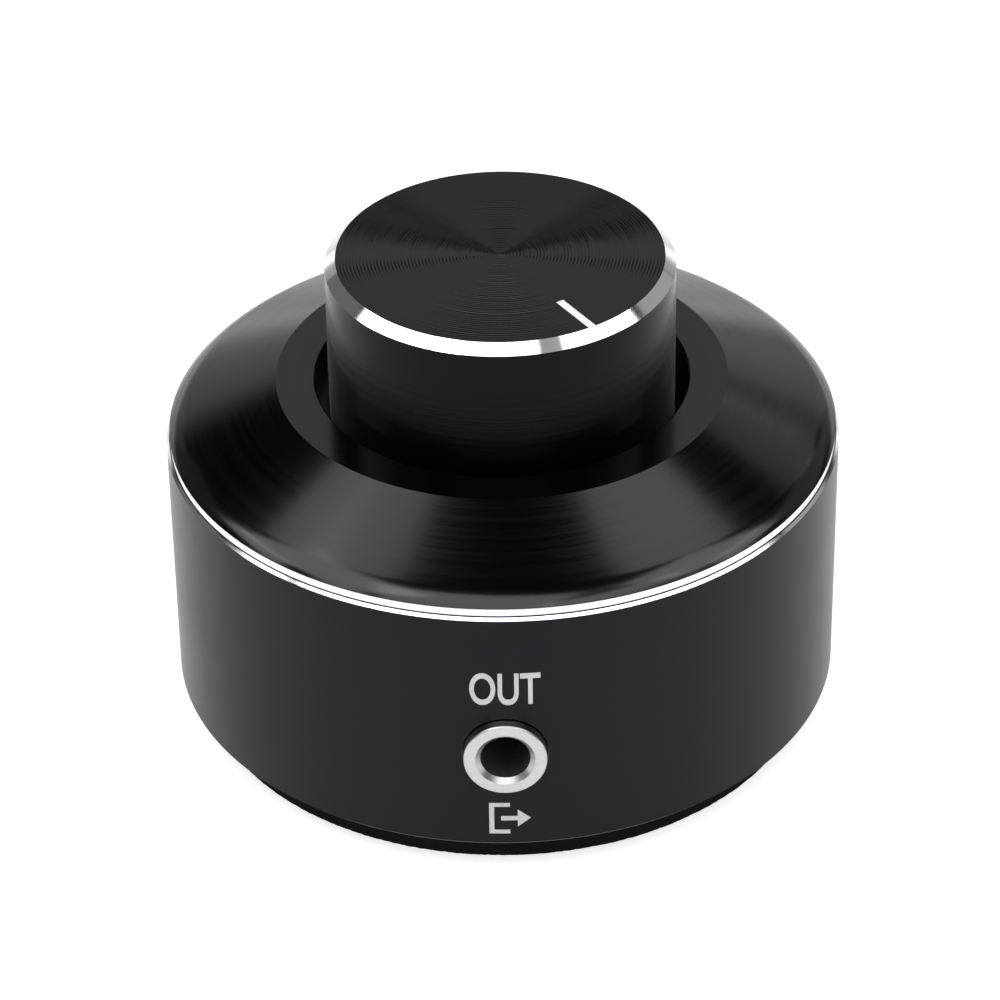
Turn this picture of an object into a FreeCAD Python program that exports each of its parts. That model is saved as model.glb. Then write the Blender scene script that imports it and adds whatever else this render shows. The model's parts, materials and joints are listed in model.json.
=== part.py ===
import FreeCAD, Part
import math
import os
import Sketcher

# Desktop volume controller: a turned cup and cover with one large knob, a jack in front and
# a jack behind. Millimetres and degrees. The origin is the middle of the foam pad's underside,
# +Z is up and the output jack faces -Y.

sizes = {
    # Foam pad
    "padInset": 1.8,
    "padThick": 2.5,
    # Cup: wall and floor
    "cupRadius": 25.0,
    "cupHeight": 20.1,
    "cupWall": 2.0,
    "cupFloor": 2.2,
    "rimChamfer": 0.2,
    "footChamfer": 0.2,
    # Cover
    "coverInset": 0.25,
    "bandHeight": 0.65,
    "shoulderRadius": 3.6,
    "coverRise": 4.45,
    "landWide": 2.9,
    "wellGap": 1.0,
    "wellDepth": 4.45,
    "spigotDepth": 2.0,
    "spigotGap": 0.1,
    # Knob, its index slot and grub screw
    "knobRadius": 12.8,
    "knobHeight": 13.6,
    "knobLift": 1.0,
    "knobFootChamfer": 0.3,
    "bevelWide": 0.8,
    "bevelDeep": 0.68,
    "recessRadius": 7.0,
    "recessDepth": 4.4,
    "hubBoreDepth": 6.0,
    "indexTurn": 57.1,
    "indexWide": 0.6,
    "indexDeep": 0.3,
    "indexInner": 7.8,
    "grubRadius": 1.5,
    "grubLength": 8.0,
    "grubRise": 3.0,
    # Shaft and its clip
    "shaftRadius": 3.0,
    "shaftTopGap": 0.4,
    "shaftFlat": 2.0,
    "runningGap": 0.05,
    "flangeRadius": 4.6,
    "flangeThick": 0.6,
    "flangePlay": 0.1,
    "stemSide": 2.6,
    "stemEndGap": 0.3,
    "clipRadius": 4.2,
    "clipThick": 0.4,
    "clipGrooveRadius": 2.4,
    "clipPlay": 0.1,
    "clipMouth": 3.8,
    # Potentiometer
    "plateThick": 1.6,
    "bushingRadius": 3.5,
    "bushingLength": 6.0,
    "gangRadius": 8.5,
    "gangWall": 0.6,
    "gangHeight": 3.8,
    "waferThick": 1.2,
    "waferHoleRadius": 2.6,
    "earWide": 9.0,
    "frontEarLong": 4.1,
    "rearEarLong": 1.6,
    "terminalPitch": 3.0,
    "terminalWide": 0.8,
    "terminalThick": 0.3,
    "terminalInset": 0.8,
    "rearCoverThick": 0.5,
    "tabWide": 2.4,
    "tabThick": 0.4,
    "tabRoot": 4.0,
    "rotorRadius": 6.6,
    "rotorThick": 1.4,
    "rotorLift": 1.6,
    "wiperInner": 3.4,
    "wiperRoot": 0.6,
    "wiperOuter": 6.0,
    "wiperThick": 0.2,
    "wiperWide": 2.4,
    "wiperGap": 0.1,
    "lugReach": 7.2,
    "lugWide": 2.4,
    "lugLong": 1.2,
    "lugHeight": 1.0,
    "washerRadius": 5.5,
    "washerThick": 0.5,
    "nutFlats": 10.0,
    "nutThick": 2.0,
    # Pillars under the cover, and the screws that draw cup, board and pillars together
    "pillarInset": 3.7,
    "pillarFlats": 5.5,
    "pillarHoleDepth": 6.0,
    "bossRadius": 3.0,
    "bossHeight": 1.5,
    "screwRadius": 1.5,
    "screwLength": 10.0,
    "screwHeadRadius": 2.8,
    # Circuit board
    "boardThick": 1.6,
    "boardGap": 0.7,
    "tailSlotGap": 0.15,
    "tailStickOut": 0.8,
    # Jacks
    "noseRadius": 3.0,
    "noseStandOut": 0.8,
    "noseHoleGap": 0.1,
    "noseStemRadius": 2.4,
    "noseStemLength": 3.0,
    "plugBoreRadius": 1.8,
    "mouthChamfer": 0.35,
    "jackSetback": 0.6,
    "jackPotGap": 2.1,
    "jackHalfWide": 3.5,
    "jackHalfHigh": 3.0,
    "channelRadius": 2.15,
    "jackBackWall": 1.0,
    "windowWide": 1.4,
    "windowAbove": 2.2,
    "windowBelow": 1.3,
    "springThick": 0.25,
    "springWide": 0.8,
    "springTop": 1.7,
    "springLean": 0.6,
    "springTailLean": 0.3,
    "springTailDrop": 0.9,
    "springGap": 0.05,
    "plugClearance": 0.03,
    "sleevePlace": 2.0,
    "ringPlace": 5.2,
    "tipPlace": 8.2,
    # Clearance between a fixed fastener or part and its hole
    "holeGap": 0.1,
}

doc = FreeCAD.newDocument("volume_controller")
sheet = doc.addObject("Spreadsheet::Sheet", "Sizes")
for row, (name, number) in enumerate(sizes.items(), start=1):
    sheet.set(f"A{row}", name)
    sheet.set(f"B{row}", str(number))
    sheet.setAlias(f"B{row}", name)
doc.recompute()


# A size with its present value and the expression that gives it from the sheet
class Dim:
    def __init__(self, value, text):
        self.value = value
        self.text = text

    def __add__(self, other):
        other = asDim(other)
        return Dim(self.value + other.value, f"({self.text} + {other.text})")

    def __sub__(self, other):
        other = asDim(other)
        return Dim(self.value - other.value, f"({self.text} - {other.text})")

    def __mul__(self, other):
        other = asDim(other)
        return Dim(self.value * other.value, f"({self.text} * {other.text})")

    def __truediv__(self, other):
        other = asDim(other)
        return Dim(self.value / other.value, f"({self.text} / {other.text})")

    def __neg__(self):
        return Dim(-self.value, f"(0 - {self.text})")


def asDim(number):
    return number if isinstance(number, Dim) else Dim(float(number), str(float(number)))


class Sheet:
    pass


s = Sheet()
for name, number in sizes.items():
    setattr(s, name, Dim(number, f"Sizes.{name}"))

zero = asDim(0)
full = 360
pillarCount = 3
# Angles above level at which the cover's shoulder faces, at the band and at the cone
shoulderFoot = 40
shoulderHead = 67.3
shoulderFacets = 2
tabCount = 4
tabTurn = 45
# How far a cut or an axis runs past what it meets
spare = asDim(1)

# Heights above the surface that the pad stands on
cupUnder = s.padThick
floorTop = cupUnder + s.cupFloor
boardUnder = floorTop + s.bossHeight
boardTop = boardUnder + s.boardThick
tailEnd = boardUnder - s.tailStickOut
jackAxis = boardTop + s.jackHalfHigh
seam = cupUnder + s.cupHeight
coverUnder = seam - s.spigotDepth
landTop = seam + s.coverRise
wellFloor = landTop - s.wellDepth
knobUnder = wellFloor + s.knobLift
knobTop = knobUnder + s.knobHeight
recessTop = knobUnder + s.recessDepth
hubBoreTop = recessTop + s.hubBoreDepth
grubHeight = recessTop + s.grubRise
shaftTop = hubBoreTop - s.shaftTopGap
plateUnder = coverUnder - s.plateThick
bushingTop = coverUnder + s.bushingLength
washerTop = wellFloor + s.washerThick
flangeTop = plateUnder - s.flangePlay
flangeUnder = flangeTop - s.flangeThick
frontWaferTop = plateUnder - s.gangHeight
frontWaferUnder = frontWaferTop - s.waferThick
rearWaferTop = frontWaferUnder - s.gangHeight
rearWaferUnder = rearWaferTop - s.waferThick
rearCoverUnder = rearWaferUnder - s.rearCoverThick

# Distances from the axis
cupInside = s.cupRadius - s.cupWall
coverRadius = s.cupRadius - s.coverInset
spigotRadius = cupInside - s.spigotGap
pillarCircle = cupInside - s.pillarInset
padRadius = s.cupRadius - s.padInset
boardRadius = cupInside - s.boardGap
jackFront = cupInside - s.jackSetback
jackLength = jackFront - s.gangRadius - s.jackPotGap
wellRadius = s.knobRadius + s.wellGap
landRadius = wellRadius + s.landWide
frontEarReach = s.gangRadius + s.frontEarLong
rearEarReach = s.gangRadius + s.rearEarLong
noseFace = s.cupRadius + s.noseStandOut


# Sketches, features and checks shared by the sub-parts
def newBody(name):
    return doc.addObject("PartDesign::Body", name)


def sketchOn(body, name, role, lift=zero):
    sketch = body.newObject("Sketcher::SketchObject", name)
    plane = next(item for item in body.Origin.OriginFeatures if item.Role == role)
    sketch.AttachmentSupport = [(plane, "")]
    sketch.MapMode = "FlatFace"
    sketch.AttachmentOffset.Base.z = lift.value
    sketch.setExpression("AttachmentOffset.Base.z", lift.text)
    return sketch


def pin(sketch, index, end, x, y):
    for kind, dim in (("DistanceX", x), ("DistanceY", y)):
        number = sketch.addConstraint(Sketcher.Constraint(kind, -1, 1, index, end, dim.value))
        sketch.setExpression(f"Constraints[{number}]", dim.text)


def outline(sketch, points):
    first = sketch.GeometryCount
    count = len(points)
    corners = [FreeCAD.Vector(x.value, y.value, 0) for x, y in points]
    for i in range(count):
        sketch.addGeometry(Part.LineSegment(corners[i], corners[(i + 1) % count]), False)
    for i in range(count):
        after = first + (i + 1) % count
        sketch.addConstraint(Sketcher.Constraint("Coincident", first + i, 2, after, 1))
    for i, (x, y) in enumerate(points):
        pin(sketch, first + i, 1, x, y)


def rectangle(sketch, left, right, low, high):
    outline(sketch, [(left, low), (right, low), (right, high), (left, high)])


def circle(sketch, x, y, radius):
    shape = Part.Circle(FreeCAD.Vector(x.value, y.value, 0), FreeCAD.Vector(0, 0, 1), radius.value)
    index = sketch.addGeometry(shape, False)
    pin(sketch, index, 3, x, y)
    number = sketch.addConstraint(Sketcher.Constraint("Radius", index, radius.value))
    sketch.setExpression(f"Constraints[{number}]", radius.text)


# Hexagon with its middle at this x, from the width across its flats
def hexagon(sketch, x, flats):
    across = flats / 2 / math.cos(math.radians(30))
    corners = [onCircle(across, turn) for turn in range(0, full, 60)]
    outline(sketch, [(x + right, forwards) for right, forwards in corners])


# A construction line that a profile turns round: upright at x, or level at y
def turningAxis(sketch, x, y, upright):
    start = FreeCAD.Vector(x.value, y.value, 0)
    along = FreeCAD.Vector(0, spare.value, 0) if upright else FreeCAD.Vector(spare.value, 0, 0)
    index = sketch.addGeometry(Part.LineSegment(start, start + along), True)
    pin(sketch, index, 1, x, y)
    if upright:
        pin(sketch, index, 2, x, y + spare)
    else:
        pin(sketch, index, 2, x + spare, y)


def pad(body, name, sketch, length, backwards=False, both=False):
    feature = body.newObject("PartDesign::Pad", name)
    feature.Profile = sketch
    feature.Reversed = backwards
    feature.SideType = "Symmetric" if both else "One side"
    feature.Length = length.value
    feature.setExpression("Length", length.text)
    doc.recompute()
    return feature


def pocket(body, name, sketch, length, backwards=False, both=False):
    before = body.Shape.Volume
    feature = body.newObject("PartDesign::Pocket", name)
    feature.Profile = sketch
    feature.Reversed = backwards
    feature.SideType = "Symmetric" if both else "One side"
    feature.Length = length.value
    feature.setExpression("Length", length.text)
    doc.recompute()
    checkCut(feature, before)
    return feature


def turned(body, name, sketch, axis="V_Axis"):
    feature = body.newObject("PartDesign::Revolution", name)
    feature.Profile = sketch
    feature.ReferenceAxis = (sketch, [axis])
    feature.Angle = full
    doc.recompute()
    return feature


def groove(body, name, sketch, axis="V_Axis"):
    before = body.Shape.Volume
    feature = body.newObject("PartDesign::Groove", name)
    feature.Profile = sketch
    feature.ReferenceAxis = (sketch, [axis])
    feature.Angle = full
    doc.recompute()
    checkCut(feature, before)
    return feature


def checkCut(feature, before):
    if feature.Shape.Volume >= before:
        raise RuntimeError(f"{feature.Label} cuts nothing")


def around(body, name, features, count):
    pattern = body.newObject("PartDesign::PolarPattern", name)
    pattern.Originals = features
    axis = next(item for item in body.Origin.OriginFeatures if item.Role == "Z_Axis")
    pattern.Axis = (axis, [""])
    pattern.Angle = full
    pattern.Occurrences = count
    body.Tip = pattern
    doc.recompute()
    return pattern


# Names of the round edges of a feature that have this radius and height
def ringEdges(feature, radius, height):
    near = 0.001
    names = []
    for number, edge in enumerate(feature.Shape.Edges, start=1):
        if not isinstance(edge.Curve, Part.Circle):
            continue
        if abs(edge.Curve.Radius - radius.value) > near:
            continue
        if abs(edge.Curve.Center.z - height.value) < near:
            names.append(f"Edge{number}")
    return names


def chamfer(body, name, feature, edges, size):
    cut = body.newObject("PartDesign::Chamfer", name)
    cut.Base = (feature, edges)
    cut.Size = size.value
    cut.setExpression("Size", size.text)
    doc.recompute()
    return cut


# Turn the whole sub-part round the upright axis through the origin
def turnBody(body, angle):
    downwards = FreeCAD.Vector(0, 0, -1)
    body.Placement = FreeCAD.Placement(FreeCAD.Vector(), FreeCAD.Rotation(downwards, angle.value))
    body.setExpression("Placement.Rotation.Angle", angle.text)


# A point on a circle round the origin; the angle is a fixed spacing
def onCircle(radius, degrees):
    angle = math.radians(degrees)
    return radius * round(math.cos(angle), 9), radius * round(math.sin(angle), 9)


# Foam disc under the cup
def makeFootPad():
    body = newBody("foot_pad")
    sketch = sketchOn(body, "PadOutline", "XY_Plane")
    circle(sketch, zero, zero, padRadius)
    pad(body, "PadDisc", sketch, s.padThick)


# Cup with the two jack holes, and three bosses for the board with countersunk holes under them
def makeCup():
    body = newBody("cup")
    profile = sketchOn(body, "CupProfile", "XZ_Plane")
    outline(profile, [
        (zero, cupUnder),
        (s.cupRadius, cupUnder),
        (s.cupRadius, seam),
        (cupInside, seam),
        (cupInside, floorTop),
        (zero, floorTop),
    ])
    shell = turned(body, "CupShell", profile)
    rim = chamfer(body, "CupRim", shell, ringEdges(shell, s.cupRadius, seam), s.rimChamfer)
    chamfer(body, "CupFoot", rim, ringEdges(rim, s.cupRadius, cupUnder), s.footChamfer)

    bossSketch = sketchOn(body, "BossOutline", "XY_Plane", floorTop)
    circle(bossSketch, pillarCircle, zero, s.bossRadius)
    boss = pad(body, "Boss", bossSketch, s.bossHeight)
    screwSketch = sketchOn(body, "ScrewHoleProfile", "XZ_Plane")
    left = pillarCircle
    hole = s.screwRadius + s.holeGap
    head = s.screwHeadRadius + s.holeGap
    outline(screwSketch, [
        (left, cupUnder),
        (left + head, cupUnder),
        (left + hole, cupUnder + head - hole),
        (left + hole, boardUnder),
        (left, boardUnder),
    ])
    turningAxis(screwSketch, left, zero, upright=True)
    screwHole = groove(body, "ScrewHole", screwSketch, "Axis0")
    around(body, "Bosses", [boss, screwHole], pillarCount)

    sideSketch = sketchOn(body, "JackHoleOutline", "XZ_Plane")
    circle(sideSketch, zero, jackAxis, s.noseRadius + s.noseHoleGap)
    pocket(body, "JackHoles", sideSketch, (noseFace + spare) * 2, both=True)


# Cover: cone, land, well, the band round its edge, the spigot that centres it in the cup and
# the hexagonal pillars that stand on the board. A shoulder leads from the band into the cone
def makeTopCover():
    body = newBody("top_cover")
    bandTop = seam + s.bandHeight
    footX, footY = onCircle(s.shoulderRadius, shoulderFoot)
    shoulder = []
    for step in range(shoulderFacets + 1):
        turn = shoulderFoot + (shoulderHead - shoulderFoot) * step / shoulderFacets
        x, y = onCircle(s.shoulderRadius, turn)
        shoulder.append((coverRadius + x - footX, bandTop + y - footY))
    profile = sketchOn(body, "CoverProfile", "XZ_Plane")
    bore = s.bushingRadius + s.holeGap
    outline(profile, [
        (bore, coverUnder),
        (spigotRadius, coverUnder),
        (spigotRadius, seam),
        (coverRadius, seam),
        *shoulder,
        (landRadius, landTop),
        (wellRadius, landTop),
        (wellRadius, wellFloor),
        (bore, wellFloor),
    ])
    turned(body, "CoverShell", profile)

    pillarSketch = sketchOn(body, "PillarOutline", "XY_Plane", coverUnder)
    hexagon(pillarSketch, pillarCircle, s.pillarFlats)
    pillar = pad(body, "Pillar", pillarSketch, coverUnder - boardTop, backwards=True)
    holeSketch = sketchOn(body, "PillarHoleOutline", "XY_Plane", boardTop)
    circle(holeSketch, pillarCircle, zero, s.screwRadius + s.holeGap)
    hole = pocket(body, "PillarHole", holeSketch, s.pillarHoleDepth, backwards=True)
    around(body, "Pillars", [pillar, hole], pillarCount)

    lugSketch = sketchOn(body, "LugSlotOutline", "XY_Plane", coverUnder)
    inner = s.lugReach - s.lugLong
    half = s.lugWide / 2 + s.holeGap
    rectangle(lugSketch, inner - s.holeGap, s.lugReach + s.holeGap, -half, half)
    pocket(body, "LugSlot", lugSketch, s.lugHeight + s.holeGap, backwards=True)


# Countersunk screws from below, through bosses and board into the pillars
def makeCoverScrews():
    body = newBody("cover_screws")
    body.AllowCompound = True
    profile = sketchOn(body, "ScrewProfile", "XZ_Plane")
    left = pillarCircle
    outline(profile, [
        (left, cupUnder),
        (left + s.screwHeadRadius, cupUnder),
        (left + s.screwRadius, cupUnder + s.screwHeadRadius - s.screwRadius),
        (left + s.screwRadius, cupUnder + s.screwLength),
        (left, cupUnder + s.screwLength),
    ])
    turningAxis(profile, left, zero, upright=True)
    screw = turned(body, "Screw", profile, "Axis0")
    around(body, "Screws", [screw], pillarCount)


# Places of the spring tails beside a jack: side of the jack and distance behind its front
def springPlaces():
    return ((-1, s.sleevePlace), (1, s.ringPlace), (-1, s.tipPlace))


# Round board with holes for the screws and slots for springs and terminals
def makeCircuitBoard():
    body = newBody("circuit_board")
    sketch = sketchOn(body, "BoardOutline", "XY_Plane", boardUnder)
    circle(sketch, zero, zero, boardRadius)
    pad(body, "Board", sketch, s.boardThick)

    screwSketch = sketchOn(body, "BoardScrewHoleOutline", "XY_Plane", boardTop)
    circle(screwSketch, pillarCircle, zero, s.screwRadius + s.holeGap)
    hole = pocket(body, "BoardScrewHole", screwSketch, s.boardThick)
    around(body, "BoardScrewHoles", [hole], pillarCount)

    slotSketch = sketchOn(body, "TailSlotOutline", "XY_Plane", boardTop)
    tailX = s.jackHalfWide + s.springGap + s.springThick / 2
    for side, place in springPlaces():
        tailY = jackFront - place
        for end in (-1, 1):
            tailSlot(slotSketch, tailX * -side * end, tailY * end, s.springThick, s.springWide)
    for reach in (frontEarReach, rearEarReach):
        for step in (-1, 0, 1):
            pinX = s.terminalInset - reach
            tailSlot(slotSketch, pinX, s.terminalPitch * step, s.terminalThick, s.terminalWide)
    pocket(body, "TailSlots", slotSketch, s.boardThick)


# Slot in the board round a flat tail with this middle, thickness and width
def tailSlot(sketch, x, y, thick, wide):
    halfX = thick / 2 + s.tailSlotGap
    halfY = wide / 2 + s.tailSlotGap
    rectangle(sketch, x - halfX, x + halfX, y - halfY, y + halfY)


# Nose of a jack: bright ring in the wall, with a stem that enters the jack's housing
def makeJackNose(name, turn):
    body = newBody(name)
    profile = sketchOn(body, "NoseProfile", "YZ_Plane")
    stemEnd = jackFront - s.noseStemLength
    outline(profile, [
        (-noseFace, jackAxis + s.plugBoreRadius + s.mouthChamfer),
        (-noseFace, jackAxis + s.noseRadius),
        (-jackFront, jackAxis + s.noseRadius),
        (-jackFront, jackAxis + s.noseStemRadius),
        (-stemEnd, jackAxis + s.noseStemRadius),
        (-stemEnd, jackAxis + s.plugBoreRadius),
        (s.mouthChamfer - noseFace, jackAxis + s.plugBoreRadius),
    ])
    turningAxis(profile, zero, jackAxis, upright=False)
    turned(body, "Nose", profile, "Axis0")
    faceTurn(body, turn)


# Moulded housing of a jack: seat for the nose, plug channel and windows for the springs
def makeJackHousing(name, turn):
    body = newBody(name)
    sketch = sketchOn(body, "HousingOutline", "XZ_Plane", jackFront)
    rectangle(sketch, -s.jackHalfWide, s.jackHalfWide, boardTop, jackAxis + s.jackHalfHigh)
    pad(body, "Block", sketch, jackLength, backwards=True)

    seatSketch = sketchOn(body, "SeatOutline", "XZ_Plane", jackFront)
    circle(seatSketch, zero, jackAxis, s.noseStemRadius + s.springGap)
    pocket(body, "NoseSeat", seatSketch, s.noseStemLength)
    channelSketch = sketchOn(body, "ChannelOutline", "XZ_Plane", jackFront)
    circle(channelSketch, zero, jackAxis, s.channelRadius)
    pocket(body, "PlugChannel", channelSketch, jackLength - s.jackBackWall)

    for side, where in ((-1, "Left"), (1, "Right")):
        windowSketch = sketchOn(body, f"{where}WindowOutline", "YZ_Plane")
        for springSide, place in springPlaces():
            if springSide == side:
                middle = place - jackFront
                half = s.windowWide / 2
                low = jackAxis - s.windowBelow
                rectangle(windowSketch, middle - half, middle + half, low, jackAxis + s.windowAbove)
        pocket(body, f"{where}Windows", windowSketch, s.jackHalfWide, backwards=side > 0)
    faceTurn(body, turn)


# Spring contacts of a jack: each strip rises beside the housing, bends in through its window
# and leans to the plug or, for the sleeve, to the nose's stem
def makeJackContacts(name, turn):
    body = newBody(name)
    body.AllowCompound = True
    plugRadius = s.plugBoreRadius + s.plugClearance
    half = s.springThick / 2
    outer = s.jackHalfWide + s.springGap
    top = jackAxis + s.springTop
    for number, (side, place) in enumerate(springPlaces(), start=1):
        reach = s.noseStemRadius + s.springGap if number == 1 else plugRadius
        nip = reach + half
        bend = nip + s.springLean
        tail = nip + s.springTailLean
        tailLow = jackAxis - s.springTailDrop
        strip = [
            (outer + s.springThick, tailEnd),
            (outer + s.springThick, top + half),
            (bend - half, top + half),
            (nip - half, jackAxis),
            (tail - half, tailLow),
            (tail + half, tailLow),
            (nip + half, jackAxis),
            (bend + half, top - half),
            (outer, top - half),
            (outer, tailEnd),
        ]
        lift = jackFront - place + s.springWide / 2
        sketch = sketchOn(body, f"StripOutline{number}", "XZ_Plane", lift)
        outline(sketch, [(x * side, z) for x, z in strip])
        pad(body, f"Strip{number}", sketch, s.springWide, backwards=True)
    faceTurn(body, turn)


# The input jack is the output jack turned half round the upright axis
def faceTurn(body, turn):
    body.Placement = FreeCAD.Placement(FreeCAD.Vector(), FreeCAD.Rotation(FreeCAD.Vector(0, 0, 1), turn))


# Mounting plate with its bushing and the lug that stops it from turning in the cover
def makePotPlate():
    body = newBody("pot_plate")
    profile = sketchOn(body, "PlateProfile", "XZ_Plane")
    bore = s.shaftRadius + s.runningGap
    outline(profile, [
        (bore, plateUnder),
        (s.gangRadius, plateUnder),
        (s.gangRadius, coverUnder),
        (s.bushingRadius, coverUnder),
        (s.bushingRadius, bushingTop),
        (bore, bushingTop),
    ])
    turned(body, "Plate", profile)
    lugSketch = sketchOn(body, "LugOutline", "XY_Plane", coverUnder)
    rectangle(lugSketch, s.lugReach - s.lugLong, s.lugReach, -s.lugWide / 2, s.lugWide / 2)
    pad(body, "Lug", lugSketch, s.lugHeight)


def makePotWasher():
    body = newBody("pot_washer")
    sketch = sketchOn(body, "WasherOutline", "XY_Plane", wellFloor)
    circle(sketch, zero, zero, s.washerRadius)
    circle(sketch, zero, zero, s.bushingRadius + s.holeGap)
    pad(body, "Washer", sketch, s.washerThick)


def makePotNut():
    body = newBody("pot_nut")
    sketch = sketchOn(body, "NutOutline", "XY_Plane", washerTop)
    hexagon(sketch, zero, s.nutFlats)
    circle(sketch, zero, zero, s.bushingRadius + s.holeGap)
    pad(body, "Nut", sketch, s.nutThick)


# Case ring of one gang, standing on its wafer
def makeGangCase(name, under):
    body = newBody(name)
    sketch = sketchOn(body, "RingOutline", "XY_Plane", under)
    circle(sketch, zero, zero, s.gangRadius)
    circle(sketch, zero, zero, s.gangRadius - s.gangWall)
    pad(body, "Ring", sketch, s.gangHeight)


# Wafer with the resistive track, and the ear that carries its three terminals
def makeWafer(name, under, earReach):
    body = newBody(name)
    discSketch = sketchOn(body, "DiscOutline", "XY_Plane", under)
    circle(discSketch, zero, zero, s.gangRadius)
    pad(body, "Disc", discSketch, s.waferThick)
    earSketch = sketchOn(body, "EarOutline", "XY_Plane", under)
    rectangle(earSketch, -earReach, -s.gangRadius / 2, -s.earWide / 2, s.earWide / 2)
    pad(body, "Ear", earSketch, s.waferThick)
    holeSketch = sketchOn(body, "StemHoleOutline", "XY_Plane", under)
    circle(holeSketch, zero, zero, s.waferHoleRadius)
    pocket(body, "StemHole", holeSketch, s.waferThick, backwards=True)


# Terminal pins from the ears down through the board
def makePotTerminals():
    body = newBody("pot_terminals")
    body.AllowCompound = True
    gangs = ((frontEarReach, frontWaferUnder), (rearEarReach, rearWaferUnder))
    for number, (reach, under) in enumerate(gangs, start=1):
        sketch = sketchOn(body, f"PinOutline{number}", "XY_Plane", tailEnd)
        middle = s.terminalInset - reach
        half = s.terminalThick / 2
        for step in (-1, 0, 1):
            low = s.terminalPitch * step - s.terminalWide / 2
            rectangle(sketch, middle - half, middle + half, low, low + s.terminalWide)
        pad(body, f"Pins{number}", sketch, under - tailEnd)


# Rear cover: disc under the rear wafer and four tabs that clamp the stack to the plate
def makeRearCover():
    body = newBody("pot_rear_cover")
    discSketch = sketchOn(body, "CoverDiscOutline", "XY_Plane", rearCoverUnder)
    circle(discSketch, zero, zero, s.gangRadius)
    pad(body, "CoverDisc", discSketch, s.rearCoverThick)
    footSketch = sketchOn(body, "TabFootOutline", "XY_Plane", rearCoverUnder)
    inner = s.gangRadius + s.springGap
    outer = inner + s.tabThick
    half = s.tabWide / 2
    rectangle(footSketch, s.tabRoot, outer, -half, half)
    foot = pad(body, "TabFoot", footSketch, s.rearCoverThick)
    tabSketch = sketchOn(body, "TabOutline", "XY_Plane", rearCoverUnder)
    rectangle(tabSketch, inner, outer, -half, half)
    tab = pad(body, "Tab", tabSketch, coverUnder - rearCoverUnder - s.holeGap)
    around(body, "Tabs", [foot, tab], tabCount)
    faceTurn(body, tabTurn)


# Shaft: flange under the plate, groove for the clip, flat for the grub screw, square stem
def makeShaft():
    body = newBody("pot_shaft")
    profile = sketchOn(body, "ShaftProfile", "XZ_Plane")
    outline(profile, [
        (zero, flangeUnder),
        (s.flangeRadius, flangeUnder),
        (s.flangeRadius, flangeTop),
        (s.shaftRadius, flangeTop),
        (s.shaftRadius, shaftTop),
        (zero, shaftTop),
    ])
    turned(body, "Rod", profile)
    clipUnder = bushingTop + s.clipPlay
    grooveSketch = sketchOn(body, "ClipGrooveOutline", "XZ_Plane")
    edge = s.shaftRadius + s.clipPlay
    rectangle(grooveSketch, s.clipGrooveRadius, edge, clipUnder, clipUnder + s.clipThick + s.clipPlay)
    groove(body, "ClipGroove", grooveSketch)
    flatSketch = sketchOn(body, "FlatOutline", "XY_Plane", shaftTop)
    rectangle(flatSketch, -s.shaftRadius - spare, -s.shaftFlat, -s.shaftRadius, s.shaftRadius)
    pocket(body, "Flat", flatSketch, shaftTop - recessTop - s.holeGap)
    stemSketch = sketchOn(body, "StemOutline", "XY_Plane", flangeUnder)
    half = s.stemSide / 2
    rectangle(stemSketch, -half, half, -half, half)
    pad(body, "Stem", stemSketch, flangeUnder - rearWaferUnder - s.stemEndGap, backwards=True)
    turnBody(body, s.indexTurn)


# Open clip in the shaft's groove, just above the bushing
def makeShaftClip():
    body = newBody("shaft_clip")
    sketch = sketchOn(body, "ClipOutline", "XY_Plane", bushingTop + s.clipPlay)
    circle(sketch, zero, zero, s.clipRadius)
    circle(sketch, zero, zero, s.clipGrooveRadius + s.springGap)
    pad(body, "ClipRing", sketch, s.clipThick)
    mouthSketch = sketchOn(body, "ClipMouthOutline", "XY_Plane", bushingTop + s.clipPlay)
    half = s.clipMouth / 2
    rectangle(mouthSketch, zero, s.clipRadius + spare, -half, half)
    pocket(body, "ClipMouth", mouthSketch, s.clipThick, backwards=True)
    turnBody(body, s.indexTurn)


# Wiper carrier on the square stem
def makeRotor(name, waferTop):
    body = newBody(name)
    sketch = sketchOn(body, "RotorOutline", "XY_Plane", waferTop + s.rotorLift)
    circle(sketch, zero, zero, s.rotorRadius)
    half = s.stemSide / 2 + s.springGap
    rectangle(sketch, -half, half, -half, half)
    pad(body, "Rotor", sketch, s.rotorThick)
    turnBody(body, s.indexTurn)


# Wiper springs: two under each rotor, bent down to the track and up again
def makeWipers():
    body = newBody("wipers")
    body.AllowCompound = True
    for number, waferTop in enumerate((frontWaferTop, rearWaferTop), start=1):
        rotorUnder = waferTop + s.rotorLift
        low = waferTop + s.wiperGap
        middle = (s.wiperInner + s.wiperOuter) / 2
        bent = [
            (s.wiperInner, rotorUnder),
            (s.wiperInner, rotorUnder - s.wiperThick),
            (middle, low),
            (s.wiperOuter, rotorUnder - s.wiperThick * 2),
            (s.wiperOuter, rotorUnder - s.wiperThick),
            (middle, low + s.wiperThick),
            (s.wiperInner + s.wiperRoot, rotorUnder),
        ]
        for side, where in ((-1, "Left"), (1, "Right")):
            sketch = sketchOn(body, f"{where}WiperOutline{number}", "XZ_Plane")
            outline(sketch, [(x * side, z) for x, z in bent])
            pad(body, f"{where}Wiper{number}", sketch, s.wiperWide, both=True)
    turnBody(body, s.indexTurn)


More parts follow.
